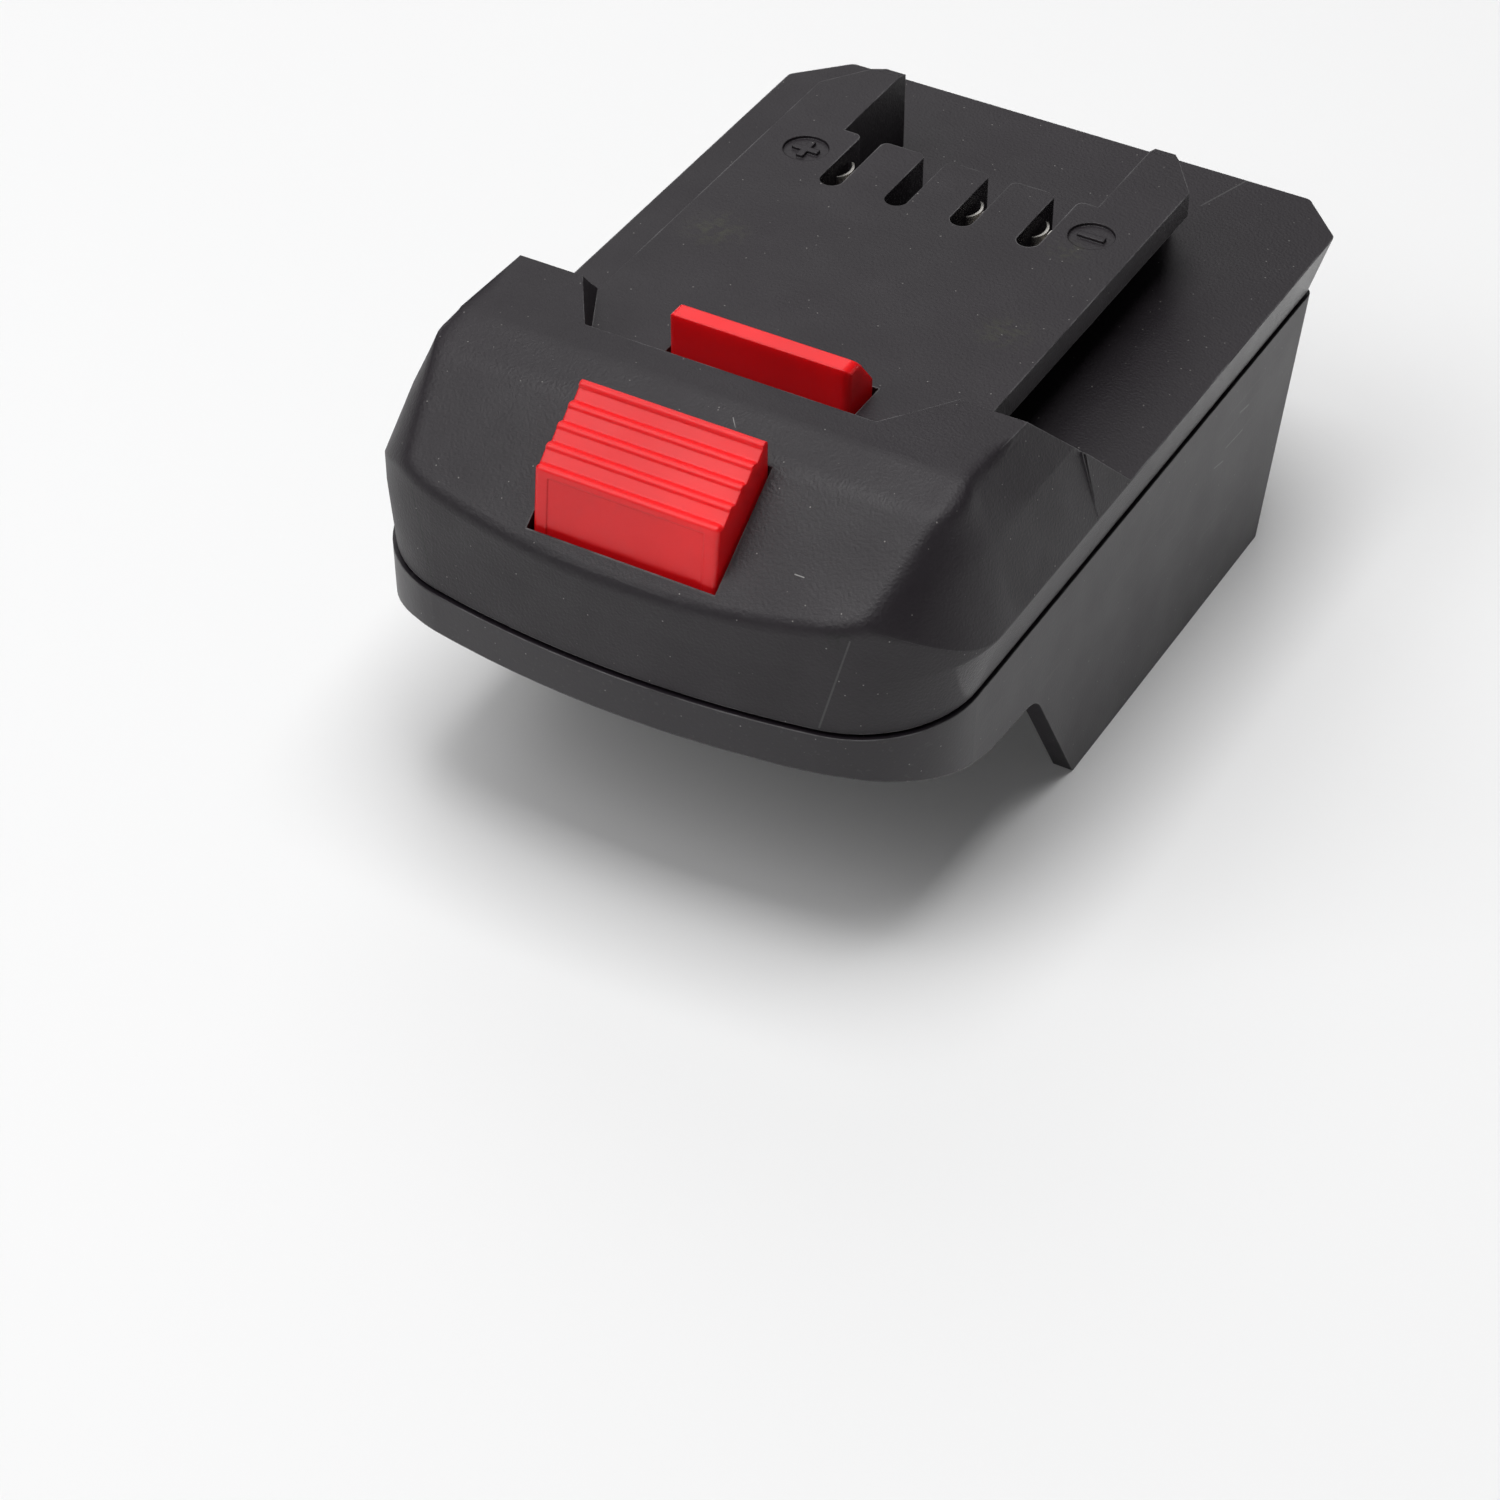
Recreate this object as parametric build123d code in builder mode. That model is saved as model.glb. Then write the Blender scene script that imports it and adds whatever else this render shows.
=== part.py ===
from build123d import *
from math import cos, radians, sin, tan
import os

# Battery adapter for a cordless tool. It slides over the rails of one make of battery and
# carries the T-shaped rail, the contacts and the latch of another make on its top.
# The nose with the release button points to -Y, the contacts to +Y, and the lower edges of
# the side walls stand on Z = 0.

# Plan outline of the cover where the two shells meet
joint_half_width = 33.6
joint_nose_y = -52.65
joint_rear_y = 51.15
nose_bow_radius = 120.0
nose_corner_radius = 13.6
nose_corner_growth = 1.9
rear_corner_x = 5.6
rear_corner_y = 5.9
rear_corner_round = 1.2

# Heights, each counted from the one before it
channel_height = 25.0
floor_thickness = 2.4
tray_depth = 2.6
band_height = 7.2
plate_rise = 10.2

# The cover's band flares out as it rises
band_flare = 1.85
nose_lean = 0.2

# Shells
cover_wall = 1.8
deck_thickness = 2.2
case_wall = 2.4
case_step = 0.35
joint_gap = 0.45
tongue_thickness = 1.0
tongue_height = 1.6
tongue_gap = 0.15
fit_gap = 0.05
overrun = 12.0

# Hood over the latch, as levels of its faceted roof. The crest is set back from the nose
crest_rise = 5.4
crest_setback = 19.95
crest_length = 11.9
crest_back_drop = 0.6
crest_side_inset = 5.65
crest_corner = 0.6
brow_drop = 1.2
brow_length = 6.0
brow_side_inset = 5.15
brow_corner = 1.1
brow_round = 5.0
waist_drop = 6.5
waist_side_inset = 2.75
waist_corner = 5.3
foot_corner = 11.4
corner_bulge_share = 0.12
crease_round = 2.0
heel_length = 7.9
heel_lean = 1.9
front_slope = 36.5
back_slope = 45.0

# Pocket in the hood where the rail begins
pocket_setback = 3.9
pocket_front_half = 17.1
pocket_floor_splay = 26.6
pocket_top_splay = 33.7

# Rail plate. Its arms end short of the cover's rear edge
rail_half_width = 23.4
rail_flange_reach = 4.5
rail_thickness = 3.0
rail_tip_inset = 11.55
rail_tip_narrowing = 5.0
rail_chamfer_length = 7.1
arm_length = 14.7
arm_tip_width = 2.5
arm_ramp_length = 1.6
arm_ramp_drop = 0.5
finger_round = 0.9
plate_skin = 2.6

# Contact slots between the fingers, and the marks beside them
slot_pitch = 8.14
slot_width = 2.7
slot_length = 11.0
polarity_side_inset = 5.6
polarity_setback = 5.5
polarity_radius = 2.6
polarity_depth = 0.35
polarity_bar_length = 3.2
polarity_bar_width = 0.8

# Lower case
skirt_taper = 0.2
rear_wall_lean = 7.35
rim_setback = 2.65
notch_front_setback = 19.35
notch_front_drop = 5.3
notch_length = 10.7
notch_drop = 6.0
notch_foot_run = 11.6
notch_round = 5.0
guide_rail_drop = 13.0
guide_rail_height = 3.0
guide_rail_reach = 3.4
guide_rail_lead = 2.6
guide_rail_rear_gap = 3.8
catch_half_width = 9.0
catch_setback = 6.05
catch_length = 6.8
catch_depth = 1.2

# Screws that hold the shells together
case_screw_side_inset = 10.1
case_screw_front_setback = 16.65
case_screw_rear_setback = 11.15
case_boss_radius = 3.6
case_boss_height = 3.4
case_shank_radius = 1.4
case_head_radius = 2.7
case_head_height = 1.9
case_head_sink = 2.9
case_shank_length = 7.4
screw_tip_room = 0.3
recess_width_share = 0.3
recess_length_share = 1.25
recess_depth_share = 0.6

# Release latch: its button in the nose
latch_travel = 5.5
button_half_width = 10.65
button_setback = 2.55
button_lean = 1.0
button_depth = 10.7
button_front_rise = 2.7
button_rear_rise = 7.3
button_skirt_step = 1.7
button_skirt_gap = 1.7
button_gap = 0.35
button_round = 0.5
panel_depth = 0.1
panel_margin = 1.6
panel_drop = 1.1
rib_count = 5
rib_riser = 0.6
rib_crest = 1.2
rib_dip = 0.35
rib_round = 0.44
rear_rib_crest = 1.0
guide_wall = 1.5

# Release latch: its bar in the pocket, and the bridge between the two
bar_half_width = 10.7
bar_setback = 5.9
bar_depth = 5.3
bar_flat = 2.1
bar_rise = 5.3
bar_ramp_drop = 4.0
bar_round = 0.9
bar_slot_side_gap = 0.6
bar_slot_gap = 0.4
bridge_half_width = 8.0
bridge_thickness = 2.6
bridge_lift = 0.4
wing_reach = 2.6
wing_setback = 1.4
stop_gap = 0.25

# Springs under the button
spring_x = 5.6
spring_radius = 2.7
spring_wire_radius = 0.35
spring_wire_sides = 4
spring_turns = 5
spring_bore_gap = 0.4
spring_bore_roof = 6.1
spring_post_gap = 0.4
spring_post_height = 3.0

# Contact clips, their carrier and the circuit board
clip_setback = 4.7
clip_half_length = 1.75
clip_sheet = 0.3
clip_pinch = 0.12
clip_mouth = 0.85
clip_top_drop = 1.8
clip_base_height = 1.0
clip_tail_width = 0.8
clip_tail_overhang = 0.5
window_gap = 0.15
carrier_half_length = 7.2
carrier_side = 4.2
carrier_chamfer = 1.0
board_thickness = 1.2
board_lift = 1.3
board_front_reach = 10.0
board_rear_reach = 3.6
board_side = 1.2
board_screw_radius = 1.0
board_head_radius = 1.9
board_head_height = 0.9
board_screw_bite = 5.0
resistor_radius = 1.1
resistor_length = 6.0
resistor_setback = 2.8
resistor_spacing = 4.0
resistor_lead_radius = 0.3
resistor_lead_sides = 8
resistor_lead_reach = 1.6
resistor_lift = 0.3

# Battery-side terminals
terminal_gap = 0.2
terminal_depth = 9.2
terminal_side = 7.3
terminal_height = 11.6
terminal_chamfer = 1.0
blade_thickness = 0.8
blade_lift = 3.0
blade_height = 5.6
blade_reach = 12.5
blade_tip_chamfer = 1.2
blade_seat = 7.4
blade_tab_width = 3.0
blade_tab_rise = 6.0
terminal_screw_setback = 5.0
terminal_shank_radius = 1.1
terminal_head_radius = 2.1
terminal_head_height = 1.3
terminal_screw_bite = 6.0
wire_radius = 0.95
wire_sides = 6
wire_bend = 1.9
wire_drop = 1.2
wire_inset = 1.8

# Worked-out heights
floor_top = channel_height + floor_thickness
joint_z = floor_top + tray_depth
deck_z = joint_z + band_height
deck_underside = deck_z - deck_thickness
plate_z = deck_z + plate_rise
crest_z = plate_z + crest_rise
brow_z = crest_z - brow_drop
waist_z = crest_z - waist_drop
back_top_z = crest_z - crest_back_drop
case_boss_z = floor_top + case_boss_height
case_seat_z = channel_height + case_head_sink
bridge_z = deck_z + bridge_lift
bridge_top_z = bridge_z + bridge_thickness
collar_z = bridge_top_z + stop_gap
button_skirt_z = floor_top + latch_travel + button_skirt_gap
button_head_z = collar_z + fit_gap
button_front_z = plate_z + button_front_rise
button_rear_z = plate_z + button_rear_rise
bar_top_z = plate_z + bar_rise
spring_bore_z = button_front_z - spring_bore_roof
board_z = floor_top + board_lift
board_top_z = board_z + board_thickness
clip_base_z = deck_underside - clip_base_height
clip_top_z = plate_z - clip_top_drop
guide_rail_z = channel_height - guide_rail_drop - guide_rail_height
notch_front_z = channel_height - notch_front_drop
notch_apex_z = channel_height - notch_drop
terminal_z = channel_height - terminal_height
blade_z = terminal_z + blade_lift
blade_tab_z = floor_top + blade_tab_rise
wire_z = blade_tab_z - wire_drop

# Worked-out places along the adapter, first those that follow the nose
crest_front_y = joint_nose_y + crest_setback
crest_back_y = crest_front_y + crest_length
brow_front_y = crest_front_y - brow_length
waist_front_y = brow_front_y - (brow_z - waist_z) / tan(radians(front_slope))
foot_front_y = brow_front_y - (brow_z - deck_z) / tan(radians(front_slope))
hood_toe_y = crest_back_y + (back_top_z - deck_z) / tan(radians(back_slope))
pocket_front_y = crest_front_y + pocket_setback
rim_end_y = joint_nose_y + rim_setback
notch_front_y = joint_nose_y + notch_front_setback
notch_apex_y = notch_front_y + notch_length
notch_foot_y = notch_apex_y + notch_foot_run
guide_rail_front_y = notch_foot_y - guide_rail_lead
catch_front_y = joint_nose_y + catch_setback
case_screw_front_y = joint_nose_y + case_screw_front_setback
button_foot_y = joint_nose_y + button_setback
button_front_y = button_foot_y + button_lean
button_skirt_y = button_foot_y + button_skirt_step
button_rear_y = button_foot_y + button_depth
spring_y = (button_skirt_y + button_rear_y) / 2
bar_front_y = pocket_front_y + bar_setback
bar_rear_y = bar_front_y + bar_depth

# Then those that follow the rear edge
skirt_rear_y = joint_rear_y - rear_wall_lean
guide_rail_rear_y = skirt_rear_y - guide_rail_rear_gap
case_screw_rear_y = joint_rear_y - case_screw_rear_setback
rail_tip_y = joint_rear_y - rail_tip_inset
finger_rear_y = rail_tip_y - arm_length
slot_front_y = finger_rear_y - slot_length
polarity_y = finger_rear_y - polarity_setback
clip_y = finger_rear_y - clip_setback
carrier_front_y = clip_y - carrier_half_length
carrier_rear_y = clip_y + carrier_half_length
board_front_y = carrier_front_y - board_front_reach
board_rear_y = carrier_rear_y + board_rear_reach
resistor_y = board_front_y + resistor_setback
terminal_rear_y = skirt_rear_y - terminal_gap
terminal_front_y = terminal_rear_y - terminal_depth
terminal_screw_y = terminal_rear_y - terminal_screw_setback
blade_rear_y = terminal_front_y + blade_seat
blade_tab_y = blade_rear_y - blade_tab_width
wire_end_y = board_rear_y - wire_inset

# Worked-out widths
deck_half_width = joint_half_width + band_flare
skirt_half_width = joint_half_width - skirt_taper
crest_side_x = deck_half_width - crest_side_inset
brow_side_x = deck_half_width - brow_side_inset
waist_side_x = deck_half_width - waist_side_inset
tray_inset = cover_wall + tongue_gap + tongue_thickness
rail_web_half = rail_half_width - rail_flange_reach
rail_tip_half = rail_half_width - rail_tip_narrowing
arm_inner_half = rail_tip_half - arm_tip_width
slot_x = [-1.5 * slot_pitch, -0.5 * slot_pitch, 0.5 * slot_pitch, 1.5 * slot_pitch]
contact_x = {"positive": slot_x[0], "signal": slot_x[2], "negative": slot_x[3]}
finger_x = slot_pitch
polarity_x = rail_half_width - polarity_side_inset
carrier_half_width = slot_x[3] + carrier_side
board_half_width = carrier_half_width + board_side
terminal_half_width = slot_x[3] + terminal_side
case_screw_x = joint_half_width - case_screw_side_inset
case_screw_places = [
    (side * case_screw_x, y) for side in (-1, 1) for y in (case_screw_front_y, case_screw_rear_y)
]

# The roof's levels from its foot to its crest: height, front line, side and corner
roof_levels = [
    (deck_z, foot_front_y, deck_half_width, foot_corner),
    (waist_z, waist_front_y, waist_side_x, waist_corner),
    (brow_z, brow_front_y, brow_side_x, brow_corner),
    (crest_z, crest_front_y - crest_corner, crest_side_x, crest_corner),
]


def plan_outline(level, half_width, nose, rear, corner, inset):
    """Outline seen from above: bowed nose, round front corners, cut rear corners."""
    with BuildSketch(Plane.XY.offset(level)) as outline:
        with BuildLine():
            sag = nose_bow_radius - (nose_bow_radius**2 - half_width**2) ** 0.5
            bow = ThreePointArc((-half_width, nose + sag), (0, nose), (half_width, nose + sag))
            Polyline(
                bow @ 1,
                (half_width, rear - rear_corner_y),
                (half_width - rear_corner_x, rear),
                (rear_corner_x - half_width, rear),
                (-half_width, rear - rear_corner_y),
                bow @ 0,
            )
        make_face()
        fillet(outline.vertices().sort_by(Axis.Y)[2:], radius=rear_corner_round)
        fillet(outline.vertices().sort_by(Axis.Y)[:2], radius=corner)
        if inset > 0:
            offset(amount=-inset, kind=Kind.INTERSECTION)
    return outline.sketch


def cover_outline(level, inset):
    """Outline of the cover's flared band at one height."""
    rise_share = (level - joint_z) / band_height
    return plan_outline(
        level,
        joint_half_width + band_flare * rise_share,
        joint_nose_y + nose_lean * rise_share,
        joint_rear_y + band_flare * rise_share,
        nose_corner_radius + nose_corner_growth * rise_share,
        inset,
    )


def case_outline(level, inset):
    """Outline of the lower case at one height. Its rear wall leans out as it rises."""
    rise_share = level / joint_z
    return plan_outline(
        level,
        skirt_half_width + (joint_half_width + case_step - skirt_half_width) * rise_share,
        joint_nose_y - case_step,
        skirt_rear_y + (joint_rear_y + case_step - skirt_rear_y) * rise_share,
        nose_corner_radius,
        inset,
    )


def roof_outline(level, front, side, corner, inset):
    """Outline of the hood's roof at one level. Its corners grow towards its foot."""
    shift = inset / sin(radians(front_slope))
    with BuildSketch(Plane.XY.offset(level)) as outline:
        with BuildLine():
            front_right = Vector(side - corner - inset, front + shift)
            turn_right = Vector(side - inset, crest_front_y + shift)
            front_left = Vector(-front_right.X, front_right.Y)
            turn_left = Vector(-turn_right.X, turn_right.Y)
            for start, end in ((turn_left, front_left), (front_right, turn_right)):
                if inset > 0:
                    Line(start, end)
                else:
                    SagittaArc(start, end, -(end - start).length * corner_bulge_share)
            Line(front_left, front_right)
            Polyline(turn_right, (turn_right.X, 0), (turn_left.X, 0), turn_left)
        make_face()
    return outline.sketch


def hood(inset):
    """The hood's outer form, or its inner space where the inset is a wall."""
    with BuildPart() as form:
        loft(sections=[roof_outline(*level, inset) for level in roof_levels], ruled=True)
        if inset == 0:
            heel_top_z = deck_z + heel_length * tan(radians(back_slope))
            with BuildSketch(Plane.XZ.offset(-hood_toe_y)):
                with BuildLine():
                    Polyline(
                        (deck_half_width, deck_z),
                        (deck_half_width - heel_lean, heel_top_z),
                        (waist_side_x, heel_top_z),
                        close=True,
                    )
                make_face()
                mirror(about=Plane.YZ)
            extrude(amount=heel_length)
        with BuildSketch(Plane.YZ):
            with BuildLine():
                run = overrun / tan(radians(back_slope))
                Polyline(
                    (foot_front_y - overrun, deck_z - overrun),
                    (hood_toe_y + run, deck_z - overrun),
                    (crest_back_y, back_top_z),
                    (crest_front_y, crest_z),
                    (foot_front_y - overrun, crest_z),
                    close=True,
                )
            make_face()
            if inset > 0:
                offset(amount=-inset, kind=Kind.INTERSECTION)
        extrude(amount=deck_half_width + overrun, both=True, mode=Mode.INTERSECT)
        extrude(cover_outline(deck_z, inset), amount=crest_rise + plate_rise, mode=Mode.INTERSECT)
        if inset > 0:
            extrude(form.faces().sort_by(Axis.Z)[0], amount=deck_thickness)
        else:
            crest_line_y = crest_front_y - crest_corner
            lines = form.edges().filter_by(Axis.X)
            fillet(
                lines.filter_by_position(Axis.Y, brow_front_y - fit_gap, crest_line_y + fit_gap),
                radius=brow_round,
            )
            upper = form.edges().filter_by_position(Axis.Z, deck_z + crease_round, crest_z)
            fillet(upper.sort_by(Axis.Y)[0], radius=crease_round)
    return form.part


def pocket(level, grow):
    """The pocket's space from one level up to the crest, or that space grown by a wall."""
    with BuildPart() as space:
        for height, splay in ((level, pocket_floor_splay), (crest_z, pocket_top_splay)):
            slant = radians(splay)
            front_y = pocket_front_y - grow
            front_half = pocket_front_half + grow * (1 / cos(slant) - tan(slant))
            rear_half = front_half + (hood_toe_y - front_y) * tan(slant)
            with BuildSketch(Plane.XY.offset(height)):
                with BuildLine():
                    Polyline(
                        (-front_half, front_y),
                        (front_half, front_y),
                        (rear_half, hood_toe_y),
                        (-rear_half, hood_toe_y),
                        close=True,
                    )
                make_face()
        loft(ruled=True)
    return space.part


def screw(head_radius, head_height, shank_radius, shank_length):
    """Cross-head screw with its seat at zero, its head below it and its shank above."""
    with BuildPart() as body:
        Cylinder(head_radius, head_height, align=(Align.CENTER, Align.CENTER, Align.MAX))
        Cylinder(shank_radius, shank_length, align=(Align.CENTER, Align.CENTER, Align.MIN))
        chamfer(body.edges().sort_by(Axis.Z)[0], length=head_height / 3)
        with BuildSketch(Plane.XY.offset(-head_height)):
            long_side = head_radius * recess_length_share
            Rectangle(long_side, head_radius * recess_width_share)
            Rectangle(head_radius * recess_width_share, long_side)
        extrude(amount=head_height * recess_depth_share, mode=Mode.SUBTRACT)
    return body.part


def blade_outline(x, grow):
    """Side view of a battery blade with its solder tab, at one place across the width."""
    with BuildSketch(Plane.YZ.offset(x)) as outline:
        with BuildLine():
            tip_y = terminal_front_y - blade_reach
            Polyline(
                (tip_y, blade_z),
                (blade_rear_y, blade_z),
                (blade_rear_y, blade_tab_z),
                (blade_tab_y, blade_tab_z),
                (blade_tab_y, blade_z + blade_height),
                (tip_y, blade_z + blade_height),
                close=True,
            )
        make_face()
        chamfer(outline.vertices().sort_by(Axis.X)[:2], length=blade_tip_chamfer)
        if grow > 0:
            offset(amount=grow, kind=Kind.INTERSECTION)
    return outline.sketch


# Rail plate with its two arms and the four slotted fingers between them
with BuildPart() as rail:
    with BuildSketch(Plane.XY.offset(deck_z)) as rail_plan:
        with BuildLine():
            rail_front_y = pocket_front_y - cover_wall
            Polyline(
                (0, rail_front_y),
                (rail_half_width, rail_front_y),
                (rail_half_width, rail_tip_y - rail_chamfer_length),
                (rail_tip_half, rail_tip_y),
                (arm_inner_half, rail_tip_y),
                (arm_inner_half, finger_rear_y),
                (0, finger_rear_y),
                close=True,
            )
        make_face()
        mirror(about=Plane.YZ)
        with Locations([(x, slot_front_y + slot_width / 2) for x in slot_x]):
            Circle(slot_width / 2, mode=Mode.SUBTRACT)
            Rectangle(slot_width, overrun, align=(Align.CENTER, Align.MIN), mode=Mode.SUBTRACT)
        finger_ends = rail_plan.vertices().filter_by_position(
            Axis.Y, finger_rear_y - fit_gap, finger_rear_y + fit_gap
        )
        fillet(finger_ends.sort_by(Axis.X)[1:-1], radius=finger_round)
    extrude(amount=plate_rise)
    with BuildSketch(Plane.XY.offset(deck_z)):
        with Locations((0, rail_front_y)):
            rail_length = rail_tip_y - rail_front_y
            Rectangle(2 * rail_half_width, rail_length, align=(Align.CENTER, Align.MIN))
            Rectangle(
                2 * rail_web_half,
                rail_length,
                align=(Align.CENTER, Align.MIN),
                mode=Mode.SUBTRACT,
            )
    extrude(amount=plate_rise - rail_thickness, mode=Mode.SUBTRACT)
    with BuildSketch(Plane.YZ):
        with BuildLine():
            Polyline(
                (rail_tip_y - arm_ramp_length, plate_z),
                (rail_tip_y, plate_z - arm_ramp_drop),
                (rail_tip_y, plate_z),
                close=True,
            )
        make_face()
    extrude(amount=rail_half_width, both=True, mode=Mode.SUBTRACT)

hood_form = hood(0)
hood_space = hood(cover_wall)
pocket_form = pocket(plate_z - plate_skin, cover_wall)
pocket_space = pocket(plate_z, 0)

# Everything the cover fills from outside, before it is hollowed
with BuildPart() as envelope:
    loft(sections=[cover_outline(joint_z + joint_gap, 0), cover_outline(deck_z, 0)], ruled=True)
    add(hood_form)
    add(rail.part)

# The space inside the cover: under the deck, in the hood and under the rail plate
with BuildPart() as hollow:
    loft(
        sections=[cover_outline(joint_z, cover_wall), cover_outline(deck_underside, cover_wall)],
        ruled=True,
    )
    add(hood_space)
    with BuildSketch(Plane.XY.offset(deck_underside)):
        with Locations((0, pocket_front_y)):
            Rectangle(
                2 * (rail_web_half - cover_wall),
                slot_front_y - cover_wall - pocket_front_y,
                align=(Align.CENTER, Align.MIN),
            )
    extrude(amount=plate_z - plate_skin - deck_underside)

# What stands inside that space: screw bosses, the button's guide and the pocket's walls
with BuildPart() as fittings:
    with BuildSketch(Plane.XY.offset(case_boss_z)):
        with Locations(case_screw_places):
            Circle(case_boss_radius)
    extrude(amount=crest_z - case_boss_z)
    with BuildSketch(Plane.XY.offset(collar_z)):
        with Locations((0, button_foot_y - button_gap - guide_wall)):
            Rectangle(
                2 * (button_half_width + button_gap + guide_wall),
                button_rear_y - button_foot_y + 2 * (button_gap + guide_wall),
                align=(Align.CENTER, Align.MIN),
            )
    extrude(amount=crest_z - collar_z)
    add(pocket_form)
    add(envelope.part, mode=Mode.INTERSECT)

with BuildPart() as top_cover:
    add(envelope.part)
    add(hollow.part, mode=Mode.SUBTRACT)
    add(fittings.part)
    add(pocket_space, mode=Mode.SUBTRACT)
    with BuildSketch(Plane.XY.offset(collar_z)):
        with Locations((0, button_foot_y - button_gap)):
            Rectangle(
                2 * (button_half_width + button_gap),
                button_rear_y - button_foot_y + 2 * button_gap,
                align=(Align.CENTER, Align.MIN),
            )
    extrude(amount=crest_z - collar_z, mode=Mode.SUBTRACT)
    with BuildSketch(Plane.XY.offset(plate_z)):
        with Locations((0, (bar_front_y + bar_rear_y) / 2)):
            Rectangle(
                2 * (bar_half_width + bar_slot_side_gap),
                bar_rear_y - bar_front_y + 2 * bar_slot_gap,
            )
    extrude(amount=-plate_skin, mode=Mode.SUBTRACT)
    with BuildSketch(Plane.XY.offset(deck_underside)):
        with Locations([(x, clip_y) for x in contact_x.values()]):
            Rectangle(
                2 * (clip_mouth + clip_sheet + window_gap),
                2 * (clip_half_length + window_gap),
            )
    extrude(amount=deck_thickness, mode=Mode.SUBTRACT)
    with BuildSketch(Plane.XY.offset(case_boss_z)):
        with Locations(case_screw_places):
            Circle(case_shank_radius + fit_gap)
    extrude(
        amount=case_seat_z + case_shank_length + screw_tip_room - case_boss_z,
        mode=Mode.SUBTRACT,
    )
    with BuildSketch(Plane.XY.offset(deck_underside)):
        with Locations((-finger_x, clip_y), (finger_x, clip_y)):
            Circle(board_screw_radius + fit_gap)
    extrude(amount=board_screw_bite + screw_tip_room, mode=Mode.SUBTRACT)
    with BuildSketch(Plane.XY.offset(plate_z)):
        with Locations((-polarity_x, polarity_y), (polarity_x, polarity_y)):
            Circle(polarity_radius)
            Rectangle(polarity_bar_length, polarity_bar_width, mode=Mode.SUBTRACT)
        with Locations((-polarity_x, polarity_y)):
            Rectangle(polarity_bar_width, polarity_bar_length, mode=Mode.SUBTRACT)
    extrude(amount=-polarity_depth, mode=Mode.SUBTRACT)
top_cover.part.label = "top_cover"

# Lower case: a tray closed by the cover, over a channel that slides along the battery
with BuildPart() as bottom_case:
    loft(sections=[case_outline(0, 0), case_outline(joint_z, 0)], ruled=True)
    extrude(cover_outline(joint_z, cover_wall + tongue_gap), amount=tongue_height)
    extrude(cover_outline(joint_z, tray_inset), amount=tongue_height, mode=Mode.SUBTRACT)
    extrude(cover_outline(joint_z, tray_inset), amount=floor_top - joint_z, mode=Mode.SUBTRACT)
    loft(
        sections=[case_outline(0, case_wall), case_outline(channel_height, case_wall)],
        ruled=True,
        mode=Mode.SUBTRACT,
    )
    with BuildSketch(Plane.YZ) as side_cut:
        with BuildLine():
            Polyline(
                (joint_nose_y - overrun, channel_height),
                (rim_end_y, channel_height),
                (notch_front_y, notch_front_z),
                (notch_apex_y, notch_apex_z),
                (notch_foot_y, 0),
                (joint_nose_y - overrun, 0),
                close=True,
            )
        make_face()
        apex = (notch_apex_y, notch_apex_z)
        fillet(side_cut.vertices().sort_by_distance(apex)[0], radius=notch_round)
    extrude(amount=skirt_half_width + overrun, both=True, mode=Mode.SUBTRACT)
    with BuildSketch(Plane.XY.offset(guide_rail_z)):
        with BuildLine():
            wall_x = skirt_half_width - case_wall / 2
            rail_x = skirt_half_width - case_wall - guide_rail_reach
            Polyline(
                (wall_x, guide_rail_front_y),
                (skirt_half_width - case_wall, guide_rail_front_y),
                (rail_x, guide_rail_front_y + guide_rail_reach),
                (rail_x, guide_rail_rear_y),
                (wall_x, guide_rail_rear_y),
                close=True,
            )
        make_face()
        mirror(about=Plane.YZ)
    extrude(amount=guide_rail_height)
    with BuildSketch(Plane.XY.offset(floor_top)):
        with Locations(case_screw_places):
            Circle(case_boss_radius)
    extrude(amount=case_boss_height)
    with BuildSketch(Plane.XY.offset(floor_top)):
        with Locations((-spring_x, spring_y), (spring_x, spring_y)):
            Circle(spring_radius - 2 * spring_wire_radius - spring_post_gap)
    extrude(amount=spring_post_height)
    with BuildSketch(Plane.XY.offset(channel_height)):
        with Locations(case_screw_places):
            Circle(case_head_radius + fit_gap)
    extrude(amount=case_head_sink, mode=Mode.SUBTRACT)
    with BuildSketch(Plane.XY.offset(channel_height)):
        with Locations(case_screw_places):
            Circle(case_shank_radius + fit_gap)
        with Locations((-finger_x, terminal_screw_y), (finger_x, terminal_screw_y)):
            Circle(terminal_shank_radius + fit_gap)
        with Locations([(x, (blade_tab_y + blade_rear_y) / 2) for x in contact_x.values()]):
            Rectangle(blade_thickness + 2 * fit_gap, blade_tab_width + 2 * fit_gap)
    extrude(amount=floor_thickness + case_boss_height, mode=Mode.SUBTRACT)
    with BuildSketch(Plane.XY.offset(channel_height)):
        with Locations((0, catch_front_y)):
            Rectangle(2 * catch_half_width, catch_length, align=(Align.CENTER, Align.MIN))
    extrude(amount=catch_depth, mode=Mode.SUBTRACT)
bottom_case.part.label = "bottom_case"

# Bar that locks the tool, with a flat top, a ramp behind it and rounded ends
with BuildPart() as latch_bar:
    with BuildSketch(Plane.YZ):
        with BuildLine():
            Polyline(
                (bar_front_y, bridge_z),
                (bar_front_y, bar_top_z),
                (bar_front_y + bar_flat, bar_top_z),
                (bar_rear_y, bar_top_z - bar_ramp_drop),
                (bar_rear_y, bridge_z),
                close=True,
            )
        make_face()
    extrude(amount=bar_half_width, both=True)
    ends = latch_bar.faces().sort_by(Axis.Z)[-1].edges().filter_by(Axis.Y)
    ends += latch_bar.faces().sort_by(Axis.Y)[0].edges().filter_by(Axis.Z)
    fillet(ends, radius=bar_round)

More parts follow.
